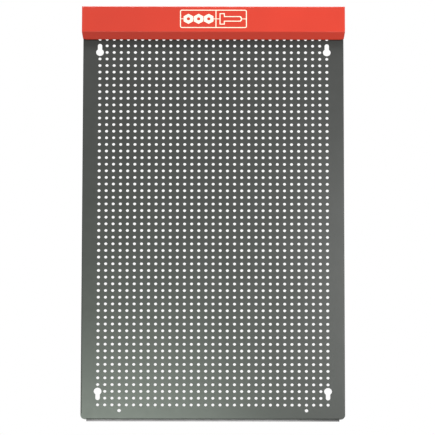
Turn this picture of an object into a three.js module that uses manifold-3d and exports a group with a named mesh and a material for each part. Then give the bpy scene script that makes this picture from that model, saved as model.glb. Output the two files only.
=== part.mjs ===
// A wall-hung perforated steel tool panel with a folded header cover.
// Millimetres. +X is the viewer's right, the front faces -Y, the wall is the plane y = 0, and +Z is up.
// The origin is on the wall, at the middle of the header's rear lip. Heights below are measured up from
// the panel's bottom edge, and the whole group is lowered at the end so that the lip is at z = 0.
import * as THREE from 'three';
import { mergeVertices } from 'three/addons/utils/BufferGeometryUtils.js';
import Module from 'manifold-3d';

const wasm = await Module();
wasm.setup();

// ---- driving dimensions ----
const SHEET = 1.2;                 // steel thickness, everywhere
const GAP = 0.3;                   // between pieces that touch
const SNAP = 1e-4;                 // faces meant to be level share one rounded coordinate
const BEND_OUTER = 2.6;            // outside radius of every fold
const BEND_STEPS = 3;              // flats round each fold
const WELD = 1;                    // parts of one sheet run into each other by this much before they join
const CUT = 8;                     // length of the cutter for a hole through one sheet

const PITCH = 15;                  // peg hole spacing, both ways
const COLUMNS = 33;
const ROWS = 56;                   // counted from the bottom row
const PEG_HOLE_R = 3.2;
const PEG_CUT_STEP = 4;            // every fourth peg hole both ways is cut here
const PEG_CUT_FIRST_ROW = 3;
const PEG_HOLE_SIDES = 8;

const PANEL_WIDTH = 551;
const PANEL_DEPTH = 15;            // front face to wall
const BOTTOM_MARGIN = 32;          // bottom edge to the bottom row
const CORNER_R = 10;
const CORNER_STEPS = 8;
const CORNER_RELIEF = 12;          // the folds stop this far from a corner
const SIDE_LIP = 11;
const BOTTOM_LIP = 11;

const KEYHOLE_ENTRY_R = 8.2;
const KEYHOLE_SLOT_R = 4.6;
const KEYHOLE_TRAVEL = 15;         // entry centre to the slot's last seat
const KEYHOLE_SIDES = 20;
const KEYHOLE_ROW = 2;             // each entry's row, counted in from the bottom and from the top
const FIXING_HOLE_R = 3.7;         // two extra holes below the bottom row
const FIXING_COLUMN = 13;          // columns from the middle
const FIXING_DROP = 12.5;          // bottom row to these holes

const HEADER_WIDTH = 557;
const HEADER_STANDOFF = 18;        // header front to panel front
const HEADER_FRONT_HEIGHT = 59;
const UNDERSIDE_RISE = 14.6;       // the sloping underside, from the panel up to the front
const CONTACT_BELOW_ROW = 4.6;     // its fold hides most of the top row of holes
const UNDERSIDE_TAPER = 2.5;       // each end is cut in by this much at the panel
const FOOT_FLANGE = 18;
const REAR_LIP = 12;
const REAR_LIP_WIDTH = 547;
const FOOT_WIDTH = 542;

const END_TAB = 12;
const END_REAR_TAB_Z = [28, 56];   // above the contact line

const BADGE_WIDTH = 141.5;
const BADGE_HEIGHT = 41.7;
const BADGE_LINE = 2.5;
const BADGE_CORNER_R = 4;
const BADGE_THICK = 0.5;
const BADGE_DIVIDER_X = 5.3;
const BADGE_NUTS = 3;
const BADGE_NUTS_X = -31.5;        // the middle of the row of nuts
const BADGE_NUT_STEP = 21.5;
const BADGE_NUT_R = 11.5;          // across corners, halved
const BADGE_NUT_BORE_R = 3.6;
const BADGE_BORE_SIDES = 12;
const BADGE_CORNER_STEPS = 4;
const BADGE_LINK = 2.2;            // the bar that joins the nuts and the bolt to the frame
const BOLT_X = [13, 24, 60];       // the head's end, its underside, and the shank's tip
const BOLT_HEAD_HALF = 13;
const BOLT_SHANK_HALF = 6.2;
const BOLT_POINT = 2.5;            // chamfer at the tip

const RIVET_SHANK_R = 2;
const RIVET_HEAD_R = 3.8;
const RIVET_HEAD_HIGH = 1.4;
const RIVET_TAIL_R = 3.1;
const RIVET_TAIL_LONG = 3.2;
const RIVET_BORE_R = 1;
const RIVET_SIDES = 8;
const RIVET_SPACING = 120;
const RIVETS_PER_ROW = 5;
const FACE_RIVET_ABOVE_CONTACT = 14.2;
const TOP_RIVET_Y = -7.5;
const END_RIVET_INSET = 7.5;       // from the panel's side
const END_TOP_RIVET_Y = -24;

// ---- heights and depths that follow from them ----
const HALF = PANEL_WIDTH / 2;
const HEADER_HALF = HEADER_WIDTH / 2;
const FACE_Y = -PANEL_DEPTH;
const FACE_BACK_Y = FACE_Y + SHEET;
const TOP_ROW_Z = BOTTOM_MARGIN + (ROWS - 1) * PITCH;
const CONTACT_Z = TOP_ROW_Z - CONTACT_BELOW_ROW;
const FRONT_Y = FACE_Y - HEADER_STANDOFF;
const FRONT_BOTTOM_Z = CONTACT_Z + UNDERSIDE_RISE;
const HEADER_TOP_Z = FRONT_BOTTOM_Z + HEADER_FRONT_HEIGHT;
const PANEL_TOP_Z = HEADER_TOP_Z - SHEET - GAP;
const REAR_LIP_BOTTOM_Z = HEADER_TOP_Z - REAR_LIP;
const ORIGIN_Z = HEADER_TOP_Z - REAR_LIP / 2;

// ---- solids ----
const snap = (value) => Math.round(value / SNAP) * SNAP;

function toSolid(geometry) {
  const bare = geometry.index ? geometry.toNonIndexed() : geometry;
  bare.deleteAttribute('normal');
  bare.deleteAttribute('uv');
  const merged = mergeVertices(bare, SNAP);
  const vertProperties = new Float32Array(merged.attributes.position.array).map(snap);
  const triVerts = new Uint32Array(merged.index.array);
  return new wasm.Manifold(new wasm.Mesh({ numProp: 3, vertProperties, triVerts }));
}

function toGeometry(solid) {
  const mesh = solid.getMesh();
  const geometry = new THREE.BufferGeometry();
  const positions = new THREE.BufferAttribute(new Float32Array(mesh.vertProperties), 3);
  geometry.setAttribute('position', positions);
  geometry.setIndex(Array.from(mesh.triVerts));
  geometry.computeVertexNormals();
  return geometry;
}

const union = (solids) => solids.reduce((whole, next) => whole.add(next));

function box(x0, x1, y0, y1, z0, z1) {
  const geometry = new THREE.BoxGeometry(x1 - x0, y1 - y0, z1 - z0);
  geometry.translate((x0 + x1) / 2, (y0 + y1) / 2, (z0 + z1) / 2);
  return toSolid(geometry);
}

function extrude(shape, depth, curveSegments = BEND_STEPS) {
  return new THREE.ExtrudeGeometry(shape, { depth, bevelEnabled: false, curveSegments });
}

// A cylinder along Y or Z, with its corners on the radius
function rod(radius, length, sides, axis) {
  const geometry = new THREE.CylinderGeometry(radius, radius, length, sides);
  if (axis === 'z') geometry.rotateX(Math.PI / 2);
  return geometry;
}

function drill(x, y, z, radius, axis, sides = RIVET_SIDES) {
  return toSolid(rod(radius, CUT, sides, axis).translate(x, y, z));
}

// ---- folded sheet: its outside corners in 2-D, in order with the sheet on their left, get round folds ----
function foldedOutline(points, radius = BEND_OUTER) {
  const at = points.map(([u, v]) => new THREE.Vector2(u, v));
  const ways = at.slice(1).map((p, i) => p.clone().sub(at[i]).normalize());
  const leftOf = (way) => new THREE.Vector2(-way.y, way.x);
  const outer = [at[0].clone()];
  const inner = [at[0].clone().addScaledVector(leftOf(ways[0]), SHEET)];
  for (let i = 1; i < at.length - 1; i += 1) {
    const before = ways[i - 1];
    const after = ways[i];
    const turn = Math.atan2(before.cross(after), before.dot(after));
    const convex = turn > 0;
    const outside = convex ? radius : radius - SHEET;
    const inside = convex ? radius - SHEET : radius;
    const reach = outside * Math.tan(Math.abs(turn) / 2);
    const start = at[i].clone().addScaledVector(before, -reach);
    const side = convex ? 1 : -1;
    const centre = start.clone().addScaledVector(leftOf(before), side * outside);
    for (let k = 0; k <= BEND_STEPS; k += 1) {
      const spin = (turn * k) / BEND_STEPS;
      const arm = leftOf(before).multiplyScalar(-side).rotateAround(new THREE.Vector2(), spin);
      outer.push(centre.clone().addScaledVector(arm, outside));
      inner.push(centre.clone().addScaledVector(arm, inside));
    }
  }
  const last = at[at.length - 1];
  outer.push(last.clone());
  inner.push(last.clone().addScaledVector(leftOf(ways[ways.length - 1]), SHEET));
  return new THREE.Shape([...outer, ...inner.reverse()]);
}

// An outline in (x, y), stretched up from z0 to z1
function standing(shape, z0, z1) {
  return toSolid(extrude(shape, z1 - z0).translate(0, 0, z0));
}

// An outline in (y, z), stretched across from -half to +half
function across(shape, half) {
  const geometry = extrude(shape, 2 * half);
  geometry.applyMatrix4(new THREE.Matrix4().set(0, 0, 1, -half, 1, 0, 0, 0, 0, 1, 0, 0, 0, 0, 0, 1));
  return toSolid(geometry);
}

// ---- perforated panel ----
const columnX = (column) => (column - (COLUMNS - 1) / 2) * PITCH;
const rowZ = (row) => BOTTOM_MARGIN + row * PITCH;

function keyhole(x, entryZ, way) {
  // way is +1 where the slot rises from the round entry and -1 where it drops
  const seatZ = entryZ + way * KEYHOLE_TRAVEL;
  const entry = drill(x, FACE_Y, entryZ, KEYHOLE_ENTRY_R, 'y', KEYHOLE_SIDES);
  const seat = drill(x, FACE_Y, seatZ, KEYHOLE_SLOT_R, 'y', KEYHOLE_SIDES);
  const low = Math.min(entryZ, seatZ);
  const high = Math.max(entryZ, seatZ);
  const slot = box(x - KEYHOLE_SLOT_R, x + KEYHOLE_SLOT_R, FACE_Y - CUT / 2, FACE_Y + CUT / 2, low, high);
  return union([entry, seat, slot]);
}

function perforatedPanel() {
  const sides = foldedOutline([
    [-HALF + SIDE_LIP, 0], [-HALF, 0], [-HALF, FACE_Y], [HALF, FACE_Y], [HALF, 0], [HALF - SIDE_LIP, 0],
  ]);
  const bottom = foldedOutline([
    [FACE_Y, CORNER_RELIEF + WELD], [FACE_Y, 0], [0, 0], [0, BOTTOM_LIP],
  ]);
  const top = foldedOutline([
    [-BEND_OUTER - GAP, PANEL_TOP_Z], [FACE_Y, PANEL_TOP_Z], [FACE_Y, PANEL_TOP_Z - BEND_OUTER - WELD],
  ]);
  const corners = new THREE.Shape();
  corners.moveTo(HALF, CORNER_RELIEF);
  corners.lineTo(-HALF, CORNER_RELIEF);
  corners.absarc(-HALF + CORNER_R, CORNER_R, CORNER_R, Math.PI, 1.5 * Math.PI);
  corners.absarc(HALF - CORNER_R, CORNER_R, CORNER_R, 1.5 * Math.PI, 2 * Math.PI);
  const cornerGeometry = extrude(corners, SHEET, CORNER_STEPS).rotateX(Math.PI / 2);
  const cornerPlate = toSolid(cornerGeometry.translate(0, FACE_BACK_Y, 0));
  const foldHalf = HALF - CORNER_RELIEF;
  const foldZone = box(-foldHalf, foldHalf, FACE_Y - WELD, WELD, -WELD, CORNER_RELIEF);

  let panel = standing(sides, CORNER_RELIEF, PANEL_TOP_Z - BEND_OUTER);
  panel = panel.add(cornerPlate.subtract(foldZone));
  panel = panel.add(across(bottom, foldHalf));
  panel = panel.add(across(top, HALF - BEND_OUTER - SHEET));

  // the side lips stop below the header's rear lip
  const cuts = [box(-HALF - 1, HALF + 1, -SHEET - GAP, 1, REAR_LIP_BOTTOM_Z - 1, HEADER_TOP_Z)];
  for (const x of [columnX(0), columnX(COLUMNS - 1)]) {
    cuts.push(keyhole(x, rowZ(KEYHOLE_ROW), -1));
    cuts.push(keyhole(x, rowZ(ROWS - 1 - KEYHOLE_ROW), 1));
  }
  for (const x of [-FIXING_COLUMN * PITCH, FIXING_COLUMN * PITCH]) {
    cuts.push(drill(x, FACE_Y, BOTTOM_MARGIN - FIXING_DROP, FIXING_HOLE_R, 'y'));
  }
  for (let column = PEG_CUT_STEP; column < COLUMNS - 1; column += PEG_CUT_STEP) {
    for (let row = PEG_CUT_FIRST_ROW; row < ROWS; row += PEG_CUT_STEP) {
      cuts.push(drill(columnX(column), FACE_Y, rowZ(row), PEG_HOLE_R, 'y', PEG_HOLE_SIDES));
    }
  }
  for (const [x, z] of [...faceRivetPlaces(), ...endFaceRivetPlaces()]) {
    cuts.push(drill(x, FACE_Y, z, RIVET_SHANK_R + GAP, 'y'));
  }
  for (const [x, y] of topRivetPlaces()) {
    cuts.push(drill(x, y, PANEL_TOP_Z, RIVET_SHANK_R + GAP, 'z'));
  }
  return panel.subtract(union(cuts));
}

// ---- header ----
const rivetRow = () => Array.from(
  { length: RIVETS_PER_ROW },
  (_, i) => (i - (RIVETS_PER_ROW - 1) / 2) * RIVET_SPACING,
);
const faceRivetPlaces = () => rivetRow().map((x) => [x, CONTACT_Z + FACE_RIVET_ABOVE_CONTACT]);
const topRivetPlaces = () => rivetRow().map((x) => [x, TOP_RIVET_Y]);
const endRivetX = HALF - END_RIVET_INSET;
const endFaceRivetZ = CONTACT_Z + (END_REAR_TAB_Z[0] + END_REAR_TAB_Z[1]) / 2;
const endFaceRivetPlaces = () => [[-endRivetX, endFaceRivetZ], [endRivetX, endFaceRivetZ]];
const endTopRivetPlaces = () => [[-endRivetX, END_TOP_RIVET_Y], [endRivetX, END_TOP_RIVET_Y]];

const FOOT_Y = FACE_Y - GAP;

function headerCover() {
  const main = foldedOutline([
    [-BEND_OUTER, HEADER_TOP_Z], [FRONT_Y, HEADER_TOP_Z], [FRONT_Y, FRONT_BOTTOM_Z],
    [FOOT_Y, CONTACT_Z], [FOOT_Y, CONTACT_Z + FOOT_FLANGE],
  ]);
  const rear = foldedOutline([
    [0, REAR_LIP_BOTTOM_Z], [0, HEADER_TOP_Z], [-BEND_OUTER - WELD, HEADER_TOP_Z],
  ]);
  const cover = across(main, HEADER_HALF).add(across(rear, REAR_LIP_WIDTH / 2));
  const cuts = [];
  for (const side of [-1, 1]) {
    // the underside's end runs in from the front corner to the panel
    const wedge = new THREE.Shape();
    wedge.moveTo(side * HEADER_HALF, FRONT_Y + BEND_OUTER);
    wedge.lineTo(side * (HEADER_HALF + 1), FRONT_Y + BEND_OUTER);
    wedge.lineTo(side * (HEADER_HALF + 1), FOOT_Y - BEND_OUTER);
    wedge.lineTo(side * (HEADER_HALF - UNDERSIDE_TAPER), FOOT_Y - BEND_OUTER);
    cuts.push(standing(wedge, CONTACT_Z - 1, FRONT_BOTTOM_Z + BEND_OUTER));
    const ends = [side * FOOT_WIDTH / 2, side * (HEADER_HALF + 1)].sort((a, b) => a - b);
    cuts.push(box(...ends, FOOT_Y - BEND_OUTER, FOOT_Y + 1, CONTACT_Z - 1, CONTACT_Z + FOOT_FLANGE + 1));
  }
  for (const [x, z] of faceRivetPlaces()) {
    cuts.push(drill(x, FOOT_Y, z, RIVET_SHANK_R + GAP, 'y'));
  }
  for (const [x, y] of [...topRivetPlaces(), ...endTopRivetPlaces()]) {
    cuts.push(drill(x, y, HEADER_TOP_Z, RIVET_SHANK_R + GAP, 'z'));
  }
  return cover.subtract(union(cuts));
}

function endPlate(side) {
  const front = FRONT_Y + SHEET + GAP;
  const top = PANEL_TOP_Z;
  const slope = UNDERSIDE_RISE / HEADER_STANDOFF;
  const lift = SHEET / Math.cos(Math.atan(slope)) + GAP + BEND_OUTER;
  const frontBottom = CONTACT_Z + slope * (FOOT_Y - front) + lift;
  const outline = new THREE.Shape();
  outline.moveTo(front, frontBottom);
  outline.lineTo(front, top - BEND_OUTER);
  outline.lineTo(front + BEND_OUTER, top);
  outline.lineTo(FOOT_Y, top);
  outline.lineTo(FOOT_Y, CONTACT_Z + lift);
  const tabY = [FOOT_Y - SHEET, FOOT_Y];
  const tabZ = END_REAR_TAB_Z.map((z) => CONTACT_Z + z);
  const plate = across(outline, SHEET / 2).translate([side * (HALF - GAP - SHEET / 2), 0, 0]);
  const span = [side * (HALF - GAP - END_TAB), side * (HALF - GAP)].sort((a, b) => a - b);
  const topTabY = [END_TOP_RIVET_Y - END_TAB / 2, END_TOP_RIVET_Y + END_TAB / 2];
  const topTab = box(...span, ...topTabY, top - SHEET, top);
  const rearTab = box(...span, ...tabY, ...tabZ);
  const holes = [
    drill(side * endRivetX, END_TOP_RIVET_Y, top, RIVET_SHANK_R + GAP, 'z'),
    drill(side * endRivetX, FOOT_Y, endFaceRivetZ, RIVET_SHANK_R + GAP, 'y'),
  ];
  return plate.add(topTab).add(rearTab).subtract(union(holes));
}

// A bolt's side view, taken in by inset all round
function boltOutline(inset) {
  const [end, shoulder, tip] = [BOLT_X[0] + inset, BOLT_X[1] - inset, BOLT_X[2] - inset];
  const head = BOLT_HEAD_HALF - inset;
  const shank = BOLT_SHANK_HALF - inset;
  const upper = [
    [tip, shank - BOLT_POINT], [tip - BOLT_POINT, shank], [shoulder, shank], [shoulder, head], [end, head],
  ];
  const lower = upper.map(([x, y]) => [x, -y]).reverse();
  return new THREE.Shape([...upper, ...lower].map(([x, y]) => new THREE.Vector2(x, y)));
}

// Three plain hexagonal nuts beside a bolt's outline, in a rounded frame with a divider, all one piece
function badge() {
  const frame = new THREE.Shape();
  roundedRect(frame, BADGE_WIDTH / 2, BADGE_HEIGHT / 2, BADGE_CORNER_R);
  const window = new THREE.Path();
  const windowHalf = [BADGE_WIDTH / 2 - BADGE_LINE, BADGE_HEIGHT / 2 - BADGE_LINE];
  roundedRect(window, ...windowHalf, BADGE_CORNER_R - BADGE_LINE);
  frame.holes.push(window);
  const printed = [toSolid(extrude(frame, BADGE_THICK, BADGE_CORNER_STEPS))];
  const cuts = [toSolid(extrude(boltOutline(BADGE_LINE), CUT).translate(0, 0, -CUT / 2))];
  for (let i = 0; i < BADGE_NUTS; i += 1) {
    const x = BADGE_NUTS_X + (i - (BADGE_NUTS - 1) / 2) * BADGE_NUT_STEP;
    printed.push(toSolid(rod(BADGE_NUT_R, BADGE_THICK, 6, 'z').translate(x, 0, BADGE_THICK / 2)));
    cuts.push(drill(x, 0, BADGE_THICK / 2, BADGE_NUT_BORE_R, 'z', BADGE_BORE_SIDES));
  }
  const reach = (BADGE_WIDTH - BADGE_LINE) / 2;
  const rise = (BADGE_HEIGHT - BADGE_LINE) / 2;
  const line = BADGE_LINE / 2;
  printed.push(box(-reach, reach, -BADGE_LINK / 2, BADGE_LINK / 2, 0, BADGE_THICK));
  printed.push(box(BADGE_DIVIDER_X - line, BADGE_DIVIDER_X + line, -rise, rise, 0, BADGE_THICK));
  printed.push(toSolid(extrude(boltOutline(0), BADGE_THICK)));
  return union(printed).subtract(union(cuts));
}

function roundedRect(path, halfWidth, halfHeight, radius) {
  path.moveTo(halfWidth, -halfHeight + radius);
  path.absarc(halfWidth - radius, halfHeight - radius, radius, 0, Math.PI / 2);
  path.absarc(-halfWidth + radius, halfHeight - radius, radius, Math.PI / 2, Math.PI);
  path.absarc(-halfWidth + radius, -halfHeight + radius, radius, Math.PI, 1.5 * Math.PI);
  path.absarc(halfWidth - radius, -halfHeight + radius, radius, 1.5 * Math.PI, 2 * Math.PI);
}

// ---- blind rivets: a domed head at +Y of the stack, a bulged tail at -Y, and the mandrel's hole ----
function rivetGeometry(grip) {
  const head = RIVET_HEAD_HIGH;
  const profile = [
    [RIVET_BORE_R, -grip - RIVET_TAIL_LONG],
    [RIVET_TAIL_R * 0.8, -grip - RIVET_TAIL_LONG],
    [RIVET_TAIL_R, -grip - RIVET_TAIL_LONG / 2],
    [RIVET_SHANK_R, -grip - GAP],
    [RIVET_SHANK_R, GAP],
    [RIVET_HEAD_R, GAP],
    [RIVET_HEAD_R * 0.8, GAP + head * 0.65],
    [RIVET_BORE_R, GAP + head],
    [RIVET_BORE_R, -grip - RIVET_TAIL_LONG],
  ];
  const points = profile.map(([r, y]) => new THREE.Vector2(r, y));
  return new THREE.LatheGeometry(points, RIVET_SIDES);
}

// ---- materials ----
const PAINT_GREY = new THREE.MeshStandardMaterial({ color: 0x5f625e, roughness: 0.45, metalness: 0.2 });
const PAINT_RED = new THREE.MeshStandardMaterial({ color: 0xdc4432, roughness: 0.25, metalness: 0.1 });
const PRINT_CREAM = new THREE.MeshStandardMaterial({ color: 0xfbeedd, roughness: 0.5, metalness: 0 });
const RIVET_METAL = new THREE.MeshStandardMaterial({ color: 0xb9bcc0, roughness: 0.35, metalness: 0.9 });

const tool_wall = new THREE.Group();

function place(name, geometry, material) {
  const mesh = new THREE.Mesh(geometry, material);
  mesh.name = name;
  tool_wall.add(mesh);
  return mesh;
}

place('perforated_panel', toGeometry(perforatedPanel()), PAINT_GREY);
place('header_cover', toGeometry(headerCover()), PAINT_RED);
place('header_end_left', toGeometry(endPlate(-1)), PAINT_RED);
place('header_end_right', toGeometry(endPlate(1)), PAINT_RED);

const badgeMesh = place('header_badge', toGeometry(badge()), PRINT_CREAM);
badgeMesh.rotation.x = Math.PI / 2;
badgeMesh.position.set(0, FRONT_Y - GAP, (FRONT_BOTTOM_Z + HEADER_TOP_Z) / 2);

// Face rivets are set from behind the panel, so their heads are on the wall side of it.
const stack = 2 * SHEET + GAP;
function faceRivet(name, [x, z]) {
  place(name, rivetGeometry(stack), RIVET_METAL).position.set(x, FACE_BACK_Y, z);
}

// Top rivets are set from above.
function topRivet(name, [x, y]) {
  const rivet = place(name, rivetGeometry(stack), RIVET_METAL);
  rivet.rotation.x = Math.PI / 2;
  rivet.position.set(x, y, HEADER_TOP_Z);
}

faceRivetPlaces().forEach((spot, i) => faceRivet(`face_rivet_${i + 1}`, spot));
topRivetPlaces().forEach((spot, i) => topRivet(`top_rivet_${i + 1}`, spot));
endFaceRivetPlaces().forEach((spot, i) => faceRivet(`end_face_rivet_${['left', 'right'][i]}`, spot));
endTopRivetPlaces().forEach((spot, i) => topRivet(`end_top_rivet_${['left', 'right'][i]}`, spot));

tool_wall.position.z = -ORIGIN_Z;

export default tool_wall;
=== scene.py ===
"""Looks for a wall-hung perforated tool panel with a folded header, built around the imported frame.

Metres. +X is the viewer's right, the front faces -Y, the wall is the plane y = 0, and +Z is up.
The perforated panel and the header cover are rebuilt as folded sheets with every hole cut and every
fold round. The badge and the rivets are rebuilt finer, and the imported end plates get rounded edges.
"""
import math

import bpy
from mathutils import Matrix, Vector


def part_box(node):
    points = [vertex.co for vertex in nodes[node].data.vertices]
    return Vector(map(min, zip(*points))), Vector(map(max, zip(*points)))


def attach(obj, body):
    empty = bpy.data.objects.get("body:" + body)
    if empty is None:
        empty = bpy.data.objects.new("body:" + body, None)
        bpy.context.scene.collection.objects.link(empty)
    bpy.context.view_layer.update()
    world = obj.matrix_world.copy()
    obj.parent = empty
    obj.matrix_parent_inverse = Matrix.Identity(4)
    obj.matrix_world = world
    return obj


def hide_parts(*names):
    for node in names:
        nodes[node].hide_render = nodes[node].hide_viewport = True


MM = 0.001
WELD_SCALE = 1e7               # two points are one if they round alike at this scale
SAME_PLACE = 1e-7
EDGE_ANGLE = math.radians(35)  # sharper edges than this are kept sharp, or rounded
FORWARD = Vector((0, -1, 0))   # the way that the panel's face looks

# ---- the sheet and its folds ----
SHEET = 1.2 * MM
GAP = 0.3 * MM
BEND_OUTER = 2.6 * MM
BEND_STEPS = 8
CHAMFER = 0.25 * MM            # the rounded edge of paint round each hole

# ---- the peg field ----
PITCH = 15 * MM
COLUMNS = 33
ROWS = 56                      # row 0 is the lowest
PEG_HOLE_R = 3.2 * MM
HOLE_SIDES = 16
BOTTOM_MARGIN = 32 * MM        # bottom edge to row 0
KEYHOLE_ENTRY_R = 8.2 * MM
KEYHOLE_SLOT_R = 4.6 * MM
KEYHOLE_ROW = 2                # the entry's row, counted in from the bottom and from the top
KEYHOLE_ROOM = 9.5 * MM        # entry centre to the edge of the patch that it is cut from
ARC_SIDES = 14
FIXING_HOLE_R = 3.7 * MM
FIXING_COLUMN = 13             # columns from the middle
FIXING_DROP = 12.5 * MM        # row 0 to these two holes
CORNER_R = 10 * MM
CORNER_RELIEF = 12 * MM        # the folds stop this far from a bottom corner
CORNER_STEPS = 10
LIP = 11 * MM

# ---- the header ----
FRONT_HEIGHT = 59 * MM
UNDERSIDE_RISE = 14.6 * MM
UNDERSIDE_TAPER = 2.5 * MM
FOOT_FLANGE = 18 * MM
FOOT_HALF = 271 * MM
REAR_LIP = 12 * MM
REAR_LIP_HALF = 273.5 * MM

# ---- the rivets ----
RIVET_HOLE_R = 2.3 * MM
RIVET_SHANK_R = 2 * MM
RIVET_HEAD_R = 3.8 * MM
RIVET_HEAD_HIGH = 1.4 * MM
RIVET_TAIL_R = 3.1 * MM
RIVET_TAIL_LONG = 3.2 * MM
RIVET_BORE_R = 1 * MM
RIVET_SEAT = 0.02 * MM         # the head rests on the sheet
RIVET_STEM_HIGH = 0.55 * RIVET_HEAD_HIGH    # the broken stem inside the head
RIVET_STEM_R = 0.85 * RIVET_BORE_R
RIVET_MOUTH_R = 0.9 * RIVET_BORE_R
RIVET_CROWN_R = 1.3 * RIVET_BORE_R          # where the head starts to slope
RIVET_RIM_HIGH = 0.25 * MM
TAIL_FIRST_TURN = 0.15         # the tail's bulge, in half turns
TAIL_TURNS = 0.7
TAIL_BULGE_SHARE = 0.9         # of the tail's length
RIVET_SIDES = 28
DOME_STEPS = 5

# ---- the badge ----
BADGE_LINE = 1.9 * MM
BADGE_CORNER_R = 4 * MM
BADGE_THICK = 0.3 * MM
BADGE_LIFT = 0.03 * MM         # the print stands this far off the paint
BADGE_DIVIDER_X = 5.3 * MM
BADGE_NUTS = 3
BADGE_NUTS_X = -31.5 * MM      # the middle of the row of nuts
BADGE_NUT_STEP = 21.5 * MM
BADGE_NUT_R = 11.5 * MM
BADGE_BORE_R = 3.6 * MM
BADGE_BORE_SIDES = 32
BADGE_LINK = 1.4 * MM          # the bar that joins the nuts and the bolt to the frame
BOLT_END = 13 * MM             # where the head starts, measured from the badge's middle
BOLT_SHOULDER = 24 * MM
BOLT_TIP = 60 * MM
BOLT_HEAD_HALF = 13 * MM
BOLT_SHANK_HALF = 6.2 * MM
BOLT_POINT = 2.5 * MM

# ---- the camera ----
CAMERA_DISTANCE = 17.4
CAMERA_ELEVATION = -21.55      # degrees; the camera looks up from below
CAMERA_ROLL = 0.085
CAMERA_LENS = 685              # millimetres
CAMERA_SENSOR = 36
CAMERA_REACH = 200             # the farthest thing that it sees
CAMERA_AIM = Vector((0.0092, 0, -0.4627))

# ---- the floor ----
FLOOR_REACH = 60
FLOOR_BELOW_CAMERA = 0.5

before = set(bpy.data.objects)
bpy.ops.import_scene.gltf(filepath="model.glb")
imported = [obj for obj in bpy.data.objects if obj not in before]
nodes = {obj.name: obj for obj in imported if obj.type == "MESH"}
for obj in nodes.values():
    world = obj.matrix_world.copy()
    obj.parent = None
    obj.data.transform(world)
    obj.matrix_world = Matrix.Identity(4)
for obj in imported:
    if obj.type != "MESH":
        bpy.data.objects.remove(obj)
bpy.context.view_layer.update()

panel_low, panel_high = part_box("perforated_panel")
header_low, header_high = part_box("header_cover")
badge_low, badge_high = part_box("header_badge")
HALF = panel_high.x
FACE_Y = panel_low.y
PANEL_BOTTOM = panel_low.z
PANEL_TOP = panel_high.z
HEADER_HALF = header_high.x
FRONT_Y = header_low.y
HEADER_TOP = header_high.z
FOOT_Y = FACE_Y - GAP
CONTACT_Z = HEADER_TOP - FRONT_HEIGHT - UNDERSIDE_RISE
BEND_BOTTOM = PANEL_BOTTOM + BEND_OUTER
RELIEF_Z = PANEL_BOTTOM + CORNER_RELIEF
BOTTOM_HALF = HALF - CORNER_RELIEF          # half the bottom fold's length


# ---- materials ----
NOISE_LOW = 0.3                # most of a noise texture's values lie between these
NOISE_HIGH = 0.7


def new_material(name, **settings):
    """A Principled material: each setting goes straight on the shader's own socket."""
    material = bpy.data.materials.new(name)
    material.use_nodes = True
    shader = material.node_tree.nodes["Principled BSDF"]
    for socket, value in settings.items():
        shader.inputs[socket.replace("_", " ")].default_value = value
    return material


def noise(material, scale, detail=2.0, roughness=0.5):
    """Noise over object coordinates, with scale in features per metre."""
    tree = material.node_tree
    place = tree.nodes.new("ShaderNodeTexCoord")
    texture = tree.nodes.new("ShaderNodeTexNoise")
    texture.inputs["Scale"].default_value = scale
    texture.inputs["Detail"].default_value = detail
    texture.inputs["Roughness"].default_value = roughness
    tree.links.new(place.outputs["Object"], texture.inputs["Vector"])
    return texture.outputs["Fac"]


def vary(material, socket, factor, low, high):
    """Drives a number socket between low and high."""
    tree = material.node_tree
    spread = tree.nodes.new("ShaderNodeMapRange")
    spread.inputs["From Min"].default_value = NOISE_LOW
    spread.inputs["From Max"].default_value = NOISE_HIGH
    spread.inputs["To Min"].default_value = low
    spread.inputs["To Max"].default_value = high
    tree.links.new(factor, spread.inputs["Value"])
    tree.links.new(spread.outputs["Result"], tree.nodes["Principled BSDF"].inputs[socket])


def tint(material, factor, dark, light):
    """Mixes two base colours by a factor."""
    tree = material.node_tree
    ramp = tree.nodes.new("ShaderNodeValToRGB")
    ramp.color_ramp.elements[0].position = NOISE_LOW
    ramp.color_ramp.elements[0].color = (*dark, 1)
    ramp.color_ramp.elements[1].position = NOISE_HIGH
    ramp.color_ramp.elements[1].color = (*light, 1)
    tree.links.new(factor, ramp.inputs["Fac"])
    tree.links.new(ramp.outputs["Color"], tree.nodes["Principled BSDF"].inputs["Base Color"])


def bump(material, factor, depth, strength=1.0):
    """Raises the surface by up to depth metres."""
    tree = material.node_tree
    node = tree.nodes.new("ShaderNodeBump")
    node.inputs["Distance"].default_value = depth
    node.inputs["Strength"].default_value = strength
    tree.links.new(factor, node.inputs["Height"])
    tree.links.new(node.outputs["Normal"], tree.nodes["Principled BSDF"].inputs["Normal"])


def grey_paint():
    """Semi-gloss powder coat: fine orange peel, faint cloudiness."""
    material = new_material("panel_paint", IOR=1.4)
    tint(material, noise(material, 14, 3), (0.023, 0.0245, 0.0225), (0.026, 0.0275, 0.0255))
    vary(material, "Roughness", noise(material, 60, 3), 0.33, 0.39)
    bump(material, noise(material, 900, 2), 0.02 * MM, 0.35)
    return material


def red_paint():
    """Glossy powder coat: a clear top over a strong red, with a softer orange peel."""
    material = new_material("header_paint", IOR=1.4, Roughness=0.25, Coat_Weight=0.1, Coat_Roughness=0.08)
    tint(material, noise(material, 9, 2), (0.41, 0.0225, 0.0075), (0.44, 0.0245, 0.0085))
    bump(material, noise(material, 700, 2), 0.02 * MM, 0.2)
    return material


def cream_print():
    """Screen-printed ink: nearly matt, faintly uneven."""
    material = new_material("badge_print", IOR=1.45, Roughness=0.5)
    tint(material, noise(material, 120, 3), (0.74, 0.60, 0.47), (0.80, 0.66, 0.53))
    bump(material, noise(material, 1500, 2), 0.01 * MM, 0.3)
    return material


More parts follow.
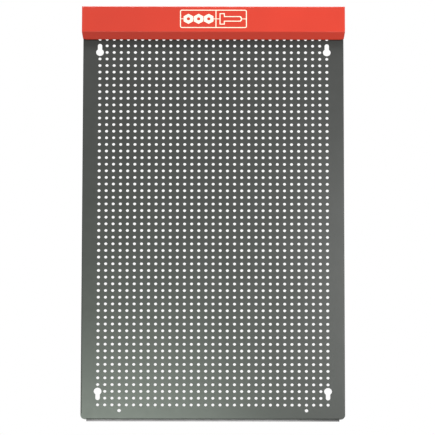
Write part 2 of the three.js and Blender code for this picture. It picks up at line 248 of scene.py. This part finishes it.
def rivet_aluminium():
    """Drawn aluminium with fine handling marks."""
    material = new_material("rivet_metal", Metallic=1.0)
    tint(material, noise(material, 900, 4), (0.62, 0.63, 0.65), (0.76, 0.77, 0.79))
    vary(material, "Roughness", noise(material, 1600, 3), 0.28, 0.48)
    bump(material, noise(material, 2500, 2), 0.01 * MM, 0.3)
    return material


# ---- folded sheet ----
class SheetMesh:
    """Welds faces at equal points, and keeps a normal for each corner: flats stay flat, folds look round."""

    def __init__(self):
        self.index = {}
        self.points = []
        self.faces = []
        self.normals = []
        self.skin_edges = {}

    def vertex(self, point):
        key = tuple(round(c * WELD_SCALE) for c in point)
        if key not in self.index:
            self.index[key] = len(self.points)
            self.points.append(point)
        return self.index[key]

    def face(self, corners):
        """corners: (point, normal), anticlockwise as seen from outside."""
        self.faces.append([self.vertex(point) for point, _ in corners])
        self.normals.extend(normal for _, normal in corners)

    def skins(self, corners):
        """corners: (outside point, inside point, outward normal), anticlockwise as seen from outside."""
        self.face([(outer, normal) for outer, _, normal in corners])
        self.face([(inner, -normal) for _, inner, normal in reversed(corners)])
        for start, end in zip(corners, corners[1:] + corners[:1]):
            self.skin_edges[self.vertex(start[0]), self.vertex(end[0])] = (start, end)

    def strip(self, lower, upper):
        """Both skins between two rows of corners that run the same way."""
        self.skins(lower + upper[::-1])

    def close(self):
        """Joins the two skins along every raw edge."""
        used = {pair for face in self.faces for pair in zip(face, face[1:] + face[:1])}
        for (a, b), (start, end) in self.skin_edges.items():
            if (b, a) not in used:
                out = (end[0] - start[0]).cross(start[2]).normalized()
                self.face([(end[0], out), (start[0], out), (start[1], out), (end[1], out)])

    def piece(self, name, material, slot):
        mesh = bpy.data.meshes.new(name)
        mesh.from_pydata(self.points, [], self.faces)
        mesh.polygons.foreach_set("use_smooth", [True] * len(self.faces))
        mesh.normals_split_custom_set(self.normals)
        return finished(name, mesh, material)


def finished(name, mesh, material):
    """Puts a mesh in the scene as a piece that rides with the part."""
    piece = bpy.data.objects.new(name, mesh)
    bpy.context.scene.collection.objects.link(piece)
    mesh.materials.append(material)
    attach(piece, "root")
    return piece


def right_of(way):
    return Vector((way.y, -way.x))


def rotated(vector, angle):
    cos, sin = math.cos(angle), math.sin(angle)
    return Vector((vector.x * cos - vector.y * sin, vector.x * sin + vector.y * cos))


def folded(corners):
    """(point, outward normal) along a folded sheet's outside, from its sharp corners in 2-D.

    The sheet lies on the left of the way from each corner to the next.
    """
    at = [Vector(corner) for corner in corners]
    ways = [(b - a).normalized() for a, b in zip(at, at[1:])]
    stations = [(at[0], right_of(ways[0]))]
    for corner, before, after in zip(at[1:-1], ways, ways[1:]):
        turn = math.atan2(before.x * after.y - before.y * after.x, before.dot(after))
        radius = BEND_OUTER if turn > 0 else SHEET - BEND_OUTER
        start = corner - before * (radius * math.tan(turn / 2))
        centre = start - right_of(before) * radius
        for step in range(BEND_STEPS + 1):
            normal = rotated(right_of(before), turn * step / BEND_STEPS)
            stations.append((centre + normal * radius, normal))
    stations.append((at[-1], right_of(ways[-1])))
    return without_repeats(stations)


def without_repeats(stations):
    """The stations, less any that stands on the one before it."""
    kept = stations[:1]
    for before, station in zip(stations, stations[1:]):
        if (station[0] - before[0]).length > SAME_PLACE:
            kept.append(station)
    return kept


def corner_at(place, normal):
    """A corner of both skins, from an outside point and its normal."""
    return (place, place - normal * SHEET, normal)


def row_of(station, xs):
    """One line along a fold that runs across, with a corner at each x; its station is in (y, z)."""
    (y, z), normal = station
    return [corner_at(Vector((x, y, z)), Vector((0, normal.x, normal.y))) for x in xs]


# ---- outlines of holes, anticlockwise in (x, z) ----
def circle(x, z, radius, sides=HOLE_SIDES):
    turns = [2 * math.pi * k / sides for k in range(sides)]
    return [(x + radius * math.cos(a), z + radius * math.sin(a)) for a in turns]


def keyhole(x, z, way, grow):
    """A round entry at (x, z) with a slot that runs up where way is 1, and down where it is -1."""
    entry, slot = KEYHOLE_ENTRY_R + grow, KEYHOLE_SLOT_R + grow
    meet = math.asin(slot / entry)
    turns = [math.pi / 2 + meet + (2 * math.pi - 2 * meet) * k / ARC_SIDES for k in range(ARC_SIDES + 1)]
    outline = [(x + entry * math.cos(a), z + entry * math.sin(a)) for a in turns]
    half_turn = [math.pi * k / ARC_SIDES for k in range(ARC_SIDES + 1)]
    outline += [(x + slot * math.cos(a), z + PITCH + slot * math.sin(a)) for a in half_turn]
    if way > 0:
        return outline
    return [(x, 2 * z - height) for x, height in reversed(outline)]


def ways_in(ring):
    """At each point of a hole's edge, the way that its wall faces."""
    neighbours = zip(ring[-1:] + ring[:-1], ring[1:] + ring[:1])
    return [Vector((za - zb, 0, xb - xa)).normalized() for (xa, za), (xb, zb) in neighbours]


def nearest(ring, x, z):
    return min(range(len(ring)), key=lambda i: math.hypot(ring[i][0] - x, ring[i][1] - z))


def clockwise(ring, first, last):
    """The ring's numbers from first to last, going clockwise."""
    count = (first - last) % len(ring)
    return [(first - k) % len(ring) for k in range(count + 1)]


# ---- perforated panel ----
def column_x(column):
    return (column - (COLUMNS - 1) / 2) * PITCH


def row_z(row):
    return PANEL_BOTTOM + BOTTOM_MARGIN + row * PITCH


def rivet_spots(prefix):
    """The middle of each rivet's box, for the rivets whose names start so."""
    boxes = [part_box(name) for name in sorted(nodes) if name.startswith(prefix)]
    return [(low + high) / 2 for low, high in boxes]


def face_corner(x, z):
    return corner_at(Vector((x, FACE_Y, z)), FORWARD)


def plain(sheet, x0, x1, z0, z1):
    """A rectangle of the face with no hole."""
    sheet.skins([face_corner(x0, z0), face_corner(x1, z0), face_corner(x1, z1), face_corner(x0, z1)])


def pierced(sheet, x0, x1, z0, z1, wide, true):
    """A rectangle of the face with a hole, whose edge is wide at the front skin and true behind it."""
    rims = [
        (Vector((wide_x, FACE_Y, wide_z)), Vector((x, FACE_Y + SHEET, z)), FORWARD)
        for (wide_x, wide_z), (x, z) in zip(wide, true)
    ]
    right_top, left_bottom = nearest(wide, x1, z1), nearest(wide, x0, z0)
    lower = [face_corner(x0, z0), face_corner(x1, z0), face_corner(x1, z1)]
    upper = [face_corner(x1, z1), face_corner(x0, z1), face_corner(x0, z0)]
    sheet.skins(lower + [rims[i] for i in clockwise(wide, right_top, left_bottom)])
    sheet.skins(upper + [rims[i] for i in clockwise(wide, left_bottom, right_top)])

    fronts = [(rim[0], FORWARD) for rim in rims]
    inward = ways_in(true)
    lips = [(Vector((x, FACE_Y + CHAMFER, z)), way) for (x, z), way in zip(true, inward)]
    backs = [(rim[1], way) for rim, way in zip(rims, inward)]
    for i in range(len(true)):
        j = (i + 1) % len(true)
        sheet.face([fronts[i], fronts[j], lips[j], lips[i]])
        sheet.face([lips[i], lips[j], backs[j], backs[i]])


def patch_lines():
    """The x and z of the lines that cut the face into patches, mostly midway between holes.

    They make room for the wide keyhole entries, and for the rivets above the pegs.
    """
    inner_x = [(column_x(c) + column_x(c + 1)) / 2 for c in range(1, COLUMNS - 2)]
    field_x = column_x(COLUMNS - 1) + KEYHOLE_ROOM
    entry_x = column_x(COLUMNS - 1) - KEYHOLE_ROOM
    bend_x = HALF - BEND_OUTER
    xs = [-bend_x, -field_x, -entry_x, *inner_x, entry_x, field_x, bend_x]

    zs = [row_z(-1) - PITCH / 2, *((row_z(r) + row_z(r + 1)) / 2 for r in range(-1, ROWS - 1))]
    zs[KEYHOLE_ROW + 2] = row_z(KEYHOLE_ROW) + KEYHOLE_ROOM
    zs[ROWS - KEYHOLE_ROW] = row_z(ROWS - 1 - KEYHOLE_ROW) - KEYHOLE_ROOM
    rivet_z = rivet_spots("face_rivet")[0].z
    above_pegs = (row_z(ROWS - 1) + PEG_HOLE_R + rivet_z - RIVET_HOLE_R) / 2
    above_rivets = rivet_z + 2 * RIVET_HOLE_R
    return xs, [*zs, above_pegs, above_rivets, PANEL_TOP - BEND_OUTER]


def round_holes():
    """(x, z, radius) of each round hole, by its patch; the first peg hole is in patch (1, 1)."""
    holes = {}
    for column in range(COLUMNS):
        for row in range(ROWS):
            holes[column + 1, row + 1] = (column_x(column), row_z(row), PEG_HOLE_R)
    middle = (COLUMNS + 1) // 2
    for column in (FIXING_COLUMN, -FIXING_COLUMN):
        holes[middle + column, 0] = (column * PITCH, row_z(0) - FIXING_DROP, FIXING_HOLE_R)
    for spot in rivet_spots("face_rivet"):
        holes[middle + round(spot.x / PITCH), ROWS + 1] = (spot.x, spot.z, RIVET_HOLE_R)
    for spot in rivet_spots("end_face_rivet"):
        holes[0 if spot.x < 0 else COLUMNS + 1, ROWS + 2] = (spot.x, spot.z, RIVET_HOLE_R)
    return holes


def long_holes():
    """(x, z, way) of each keyhole, by the lower of the two patches that it takes."""
    holes = {}
    for column in (0, COLUMNS - 1):
        x = column_x(column)
        holes[column + 1, KEYHOLE_ROW] = (x, row_z(KEYHOLE_ROW), -1)
        holes[column + 1, ROWS - KEYHOLE_ROW] = (x, row_z(ROWS - 1 - KEYHOLE_ROW), 1)
    return holes


def perforated_face(sheet, xs, zs):
    """The flat face down to the lowest patches, without the two bottom corners."""
    rounds, keyholes = round_holes(), long_holes()
    for c, (x0, x1) in enumerate(zip(xs, xs[1:])):
        for r, (z0, z1) in enumerate(zip(zs, zs[1:])):
            at_corner = r == 0 and c in (0, len(xs) - 2)
            if at_corner or (c, r - 1) in keyholes:
                continue
            if (c, r) in keyholes:
                x, z, way = keyholes[c, r]
                rings = [keyhole(x, z, way, grow) for grow in (CHAMFER, 0)]
                pierced(sheet, x0, x1, z0, zs[r + 2], *rings)
            elif (c, r) in rounds:
                x, z, radius = rounds[c, r]
                rings = [circle(x, z, radius + grow) for grow in (CHAMFER, 0)]
                pierced(sheet, x0, x1, z0, z1, *rings)
            else:
                plain(sheet, x0, x1, z0, z1)


def bottom_margin(sheet, xs, zs):
    """The flat below the patches, with a round corner at each end that stays clear of the folds."""
    inner = xs[1:-1]
    middle_ends = [face_corner(x, BEND_BOTTOM) for x in (inner[0], inner[-1])]
    sheet.strip(middle_ends, [face_corner(x, zs[0]) for x in inner])

    turns = [-math.pi / 2 + math.pi / 2 * k / CORNER_STEPS for k in range(CORNER_STEPS + 1)]
    centre_x, centre_z = HALF - CORNER_R, PANEL_BOTTOM + CORNER_R
    outline = [(inner[-1], BEND_BOTTOM), (BOTTOM_HALF, BEND_BOTTOM), (BOTTOM_HALF, PANEL_BOTTOM)]
    outline += [(centre_x + CORNER_R * math.cos(a), centre_z + CORNER_R * math.sin(a)) for a in turns]
    outline += [(HALF, RELIEF_Z), (xs[-1], RELIEF_Z), (xs[-1], zs[1]), (inner[-1], zs[1]), (inner[-1], zs[0])]
    sheet.skins([face_corner(x, z) for x, z in outline])
    sheet.skins([face_corner(-x, z) for x, z in reversed(outline)])


def side_row(side, station, zs):
    """One line along a side fold, with a corner at each z; its station is in (x, y) on the right side."""
    (x, y), normal = station
    return [corner_at(Vector((side * x, y, z)), Vector((side * normal.x, normal.y, 0))) for z in zs]


def side_folds(sheet, xs, zs):
    """The two side folds, where side is 1 on the right and -1 on the left."""
    patch_zs = [RELIEF_Z, *zs[1:]]
    ends = [patch_zs[0], patch_zs[-1]]
    stations = folded([(xs[-1], FACE_Y), (HALF, FACE_Y), (HALF, 0), (HALF - LIP, 0)])
    for k, (a, b) in enumerate(zip(stations, stations[1:])):
        a_zs = patch_zs if k == 0 else ends
        for side in (1, -1):
            sheet.strip(side_row(side, b, ends)[::side], side_row(side, a, a_zs)[::side])


def across(sheet, stations, ends, first=None, last=None):
    """A fold that runs across between two ends; first and last are the xs of an edge that meets patches."""
    for k, (a, b) in enumerate(zip(stations, stations[1:])):
        a_xs = first if first and k == 0 else ends
        b_xs = last if last and k == len(stations) - 2 else ends
        sheet.strip(row_of(b, b_xs), row_of(a, a_xs))


def bottom_and_top_folds(sheet, xs, zs):
    ends = [-BOTTOM_HALF, BOTTOM_HALF]
    rear_lip = [(0, PANEL_BOTTOM), (0, PANEL_BOTTOM + LIP)]
    bottom = folded([(FACE_Y, BEND_BOTTOM), (FACE_Y, PANEL_BOTTOM), *rear_lip])
    across(sheet, bottom, ends, first=[ends[0], xs[1], xs[-2], ends[1]])
    top = folded([(-BEND_OUTER - GAP, PANEL_TOP), (FACE_Y, PANEL_TOP), (FACE_Y, zs[-1])])
    across(sheet, top, [xs[0], xs[-1]], last=xs)


def build_panel(material):
    """The whole sheet, with every peg hole, keyhole, fixing hole and rivet hole cut."""
    sheet = SheetMesh()
    xs, zs = patch_lines()
    perforated_face(sheet, xs, zs)
    bottom_margin(sheet, xs, zs)
    side_folds(sheet, xs, zs)
    bottom_and_top_folds(sheet, xs, zs)
    sheet.close()
    piece = sheet.piece("perforated_panel_full", material, "panel_paint")
    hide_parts("perforated_panel")


# ---- header cover ----
def header_halves():
    """Half the cover's width at the start and end of each strip of its outline, from the rear lip on."""
    rear = [(REAR_LIP_HALF, REAR_LIP_HALF)] * (1 + BEND_STEPS)
    top_and_front = [(HEADER_HALF, HEADER_HALF)] * (2 + 2 * BEND_STEPS)
    underside = [(HEADER_HALF, HEADER_HALF - UNDERSIDE_TAPER)]
    foot = [(FOOT_HALF, FOOT_HALF)] * (BEND_STEPS + 1)
    return rear + top_and_front + underside + foot


def strip_xs(half, neighbour):
    """A strip's edge from side to side, with the ends of a narrower neighbour marked on it."""
    return [-half, -neighbour, neighbour, half] if neighbour < half else [-half, half]


def build_header(material):
    """One folded sheet: rear lip, top, front, sloping underside, and the flange that stands on the panel."""
    sheet = SheetMesh()
    front_bottom = CONTACT_Z + UNDERSIDE_RISE
    rear_and_top = [(0, HEADER_TOP - REAR_LIP), (0, HEADER_TOP), (FRONT_Y, HEADER_TOP)]
    front_and_foot = [(FRONT_Y, front_bottom), (FOOT_Y, CONTACT_Z), (FOOT_Y, CONTACT_Z + FOOT_FLANGE)]
    stations = folded(rear_and_top + front_and_foot)
    halves = header_halves()
    before = [halves[0][0], *(end for _, end in halves[:-1])]
    after = [*(start for start, _ in halves[1:]), halves[-1][1]]
    for k, (a, b) in enumerate(zip(stations, stations[1:])):
        a_xs = strip_xs(halves[k][0], before[k])
        b_xs = strip_xs(halves[k][1], after[k])
        sheet.strip(row_of(b, b_xs), row_of(a, a_xs))
    sheet.close()
    piece = sheet.piece("header_cover_folded", material, "header_paint")
    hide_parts("header_cover")


# ---- badge ----
def corner_arc(half_x, half_z, radius):
    """The upper right corner of a rounded rectangle, from its right side to its top."""
    turns = [math.pi / 2 * k / CORNER_STEPS for k in range(CORNER_STEPS + 1)]
    return [(half_x - radius + radius * math.cos(a), half_z - radius + radius * math.sin(a)) for a in turns]


def all_round(upper):
    """An outline from its upper half, which runs from the right end to the left end."""
    return upper + [(x, -z) for x, z in reversed(upper)]


def bolt_half(inset):
    """The upper half of a bolt's side view, from its tip to its head, taken in by inset all round."""
    tip, shoulder, end = BOLT_TIP - inset, BOLT_SHOULDER - inset, BOLT_END + inset
    shank, head = BOLT_SHANK_HALF - inset, BOLT_HEAD_HALF - inset
    point = [(tip, shank - BOLT_POINT), (tip - BOLT_POINT, shank)]
    return point + [(shoulder, shank), (shoulder, head), (end, head)]


def nuts_x():
    """The x of each nut's middle."""
    return [BADGE_NUTS_X + (i - (BADGE_NUTS - 1) / 2) * BADGE_NUT_STEP for i in range(BADGE_NUTS)]


def left_window(half_x, half_z, radius):
    """The opening above the nuts: the frame's inside edge, the divider, then back along the bars and nuts."""
    divider = BADGE_DIVIDER_X - BADGE_LINE / 2
    flat, shoulder, bar = BADGE_NUT_R * math.cos(math.pi / 6), BADGE_NUT_R / 2, BADGE_LINK / 2
    nut = [(-flat, bar), (-flat, shoulder), (0, BADGE_NUT_R), (flat, shoulder), (flat, bar)]
    chain = [(-half_x, bar)]
    for middle in nuts_x():
        chain += [(middle + x, z) for x, z in nut]
    chain += [(divider, bar), (divider, half_z)]
    return chain + [(-x, z) for x, z in reversed(corner_arc(half_x, half_z, radius))]


def right_window(half_x, half_z, radius):
    """The opening above the bolt."""
    divider, bar = BADGE_DIVIDER_X + BADGE_LINE / 2, BADGE_LINK / 2
    bolt = [(BOLT_END, bar), *reversed(bolt_half(0)), (BOLT_TIP, bar)]
    return [(divider, bar), *bolt, (half_x, bar), *corner_arc(half_x, half_z, radius), (divider, half_z)]


def build_badge(material):
    """A printed line frame with three plain hexagonal nuts on one side, and a bolt's outline on the other."""
    half_x = (badge_high.x - badge_low.x) / 2
    half_z = (badge_high.z - badge_low.z) / 2
    edge = corner_arc(half_x, half_z, BADGE_CORNER_R)
    inside = (half_x - BADGE_LINE, half_z - BADGE_LINE, BADGE_CORNER_R - BADGE_LINE)
    outlines = [all_round(edge + [(-x, z) for x, z in reversed(edge)]), all_round(bolt_half(BADGE_LINE))]
    for window in (left_window(*inside), right_window(*inside)):
        outlines += [window, [(x, -z) for x, z in window]]
    outlines += [circle(x, 0, BADGE_BORE_R, BADGE_BORE_SIDES) for x in nuts_x()]

    curve = bpy.data.curves.new("badge_outline", "CURVE")
    curve.dimensions = "2D"
    curve.fill_mode = "BOTH"
    curve.extrude = BADGE_THICK / 2
    for outline in outlines:
        spline = curve.splines.new("POLY")
        spline.points.add(len(outline) - 1)
        for point, (x, z) in zip(spline.points, outline):
            point.co = (x, z, 0, 1)
        spline.use_cyclic_u = True
    flat = bpy.data.objects.new("badge_outline", curve)
    mesh = bpy.data.meshes.new_from_object(flat)
    bpy.data.objects.remove(flat)
    middle = (badge_low + badge_high) / 2
    for vertex in mesh.vertices:
        x, z, depth = vertex.co
        vertex.co = (middle.x + x, FRONT_Y - BADGE_LIFT - BADGE_THICK / 2 - depth, middle.z + z)
    piece = finished("header_badge_print", mesh, material)
    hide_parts("header_badge")


# ---- rivets ----
def rivet_profile(grip):
    """(radius, height) from the head's middle to the tail's; the sheet's outside is at height 0."""
    points = [(0, RIVET_STEM_HIGH), (RIVET_STEM_R, RIVET_STEM_HIGH), (RIVET_MOUTH_R, GAP + RIVET_HEAD_HIGH)]
    for k in range(DOME_STEPS + 1):
        angle = math.pi / 2 * k / DOME_STEPS
        radius = RIVET_CROWN_R + (RIVET_HEAD_R - RIVET_CROWN_R) * math.sin(angle)
        height = GAP + RIVET_RIM_HIGH + (RIVET_HEAD_HIGH - RIVET_RIM_HIGH) * math.cos(angle)
        points.append((radius, height))
    points += [(RIVET_HEAD_R, RIVET_SEAT), (RIVET_SHANK_R, RIVET_SEAT), (RIVET_SHANK_R, -grip)]
    for k in range(DOME_STEPS + 1):
        along = k / DOME_STEPS
        bulge = math.sqrt(math.sin(math.pi * (TAIL_FIRST_TURN + TAIL_TURNS * along)))
        points.append((RIVET_TAIL_R * bulge, -grip - GAP - RIVET_TAIL_LONG * TAIL_BULGE_SHARE * along))
    return points + [(RIVET_BORE_R, -grip - RIVET_TAIL_LONG), (0, -grip - RIVET_TAIL_LONG)]


def lathe(profile, sides):
    """Points and faces of a profile turned round the z axis."""
    points, faces, rings = [], [], []
    for radius, height in profile:
        count = 1 if radius == 0 else sides
        rings.append(range(len(points), len(points) + count))
        for k in range(count):
            angle = 2 * math.pi * k / sides
            points.append((radius * math.cos(angle), radius * math.sin(angle), height))
    for upper, lower in zip(rings, rings[1:]):
        for k in range(sides):
            j = (k + 1) % sides
            going_down = [upper[k % len(upper)], lower[k % len(lower)]]
            coming_up = [lower[j % len(lower)], upper[j % len(upper)]]
            faces.append(list(dict.fromkeys(going_down + coming_up)))
    return points, faces


def build_rivets(material):
    """A blind rivet in place of each packed one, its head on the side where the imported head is."""
    grip = 2 * SHEET + GAP
    points, faces = lathe(rivet_profile(grip), RIVET_SIDES)
    for name in sorted(nodes):
        if "rivet" not in name:
            continue
        low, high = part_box(name)
        middle = (low + high) / 2
        mesh = bpy.data.meshes.new(name)
        if "top" in name:
            placed = [(middle.x + x, middle.y + y, HEADER_TOP + h) for x, y, h in points]
        else:
            placed = [(middle.x + x, FACE_Y + SHEET + h, middle.z - y) for x, y, h in points]
        mesh.from_pydata(placed, [], faces)
        mesh.polygons.foreach_set("use_smooth", [True] * len(faces))
        mesh.set_sharp_from_angle(angle=EDGE_ANGLE)
        piece = finished(name + "_turned", mesh, material)
        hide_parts(name)


# ---- end plates ----
def dress_end_plates(material):
    """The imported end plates, with their sharp edges rounded by a coat of paint."""
    for name in ("header_end_left", "header_end_right"):
        plate = nodes[name]
        plate.data.materials.clear()
        plate.data.materials.append(material)
        weld = plate.modifiers.new("weld", "WELD")
        weld.merge_threshold = 0.01 * MM
        rounding = plate.modifiers.new("rounding", "BEVEL")
        rounding.width = 0.3 * MM
        rounding.segments = 3
        rounding.limit_method = "ANGLE"
        rounding.angle_limit = EDGE_ANGLE


# ---- studio ----
def build_floor():
    """A wide pale floor, well below the hung panel, so that the low camera stands above it."""
    camera_drop = CAMERA_DISTANCE * math.sin(math.radians(-CAMERA_ELEVATION))
    height = CAMERA_AIM.z - (camera_drop + FLOOR_BELOW_CAMERA)
    square = [(-1, -1), (1, -1), (1, 1), (-1, 1)]
    mesh = bpy.data.meshes.new("floor")
    mesh.from_pydata([(x * FLOOR_REACH, y * FLOOR_REACH, height) for x, y in square], [], [(0, 1, 2, 3)])
    floor = bpy.data.objects.new("floor", mesh)
    bpy.context.scene.collection.objects.link(floor)
    material = new_material("floor_paint", Roughness=0.7)
    tint(material, noise(material, 0.5, 2), (0.79, 0.79, 0.785), (0.82, 0.82, 0.815))
    mesh.materials.append(material)


def softbox(name, place, aim, size, power, colour=(1, 1, 1), spread=180):
    """A soft rectangular lamp that the camera doesn't see; spread narrows its beam, in degrees."""
    lamp = bpy.data.lights.new(name, "AREA")
    lamp.shape = "RECTANGLE"
    lamp.size, lamp.size_y = size
    lamp.energy = power
    lamp.color = colour
    lamp.spread = math.radians(spread)
    holder = bpy.data.objects.new(name, lamp)
    holder.location = place
    holder.rotation_euler = (Vector(aim) - Vector(place)).to_track_quat("-Z", "Y").to_euler()
    holder.visible_camera = False
    bpy.context.scene.collection.objects.link(holder)


def build_lights():
    """An even white room, with softboxes in front, to the right, overhead, and behind the bottom fold."""
    world = bpy.data.worlds.new("studio")
    bpy.context.scene.world = world
    world.use_nodes = True
    background = world.node_tree.nodes["Background"]
    background.inputs["Color"].default_value = (1, 1, 1, 1)
    background.inputs["Strength"].default_value = 1.0
    softbox(
        "low_left", place=(-0.22, -1.0, -0.80), aim=(-0.22, 0, -0.88), size=(0.5, 0.5),
        power=4.0, colour=(0.86, 1.0, 0.86), spread=95,
    )
    softbox("right", place=(0.5, -0.7, -0.4), aim=(0.45, 0, -0.5), size=(0.5, 0.6), power=1.9, spread=120)
    softbox("tall_right", place=(1.6, -0.9, -0.2), aim=(0.27, 0, -0.35), size=(0.5, 1.0), power=13)
    softbox("overhead", place=(0, -0.95, 1.6), aim=(0, 0, 0.1), size=(1.2, 0.4), power=5.5, spread=60)
    softbox(
        "under_fold", place=(-0.08, 0.8, -1.25), aim=(-0.08, 0, -0.92), size=(0.6, 0.4),
        power=0.25, spread=60,
    )


def build_camera():
    """Straight on, and looking up from below."""
    elevation = math.radians(CAMERA_ELEVATION)
    away = Vector((0, -math.cos(elevation), math.sin(elevation)))
    camera = bpy.data.cameras.new("camera")
    camera.lens = CAMERA_LENS
    camera.sensor_width = CAMERA_SENSOR
    camera.clip_end = CAMERA_REACH
    holder = bpy.data.objects.new("camera", camera)
    holder.location = CAMERA_AIM + away * CAMERA_DISTANCE
    holder.rotation_euler = (-away).to_track_quat("-Z", "Y").to_euler()
    holder.rotation_euler.rotate_axis("Z", math.radians(CAMERA_ROLL))
    bpy.context.scene.collection.objects.link(holder)
    bpy.context.scene.camera = holder


bpy.context.scene.view_settings.view_transform = "Standard"
build_camera()
paint_red = red_paint()
build_panel(grey_paint())
build_header(paint_red)
dress_end_plates(paint_red)
build_badge(cream_print())
build_rivets(rivet_aluminium())
build_floor()
build_lights()
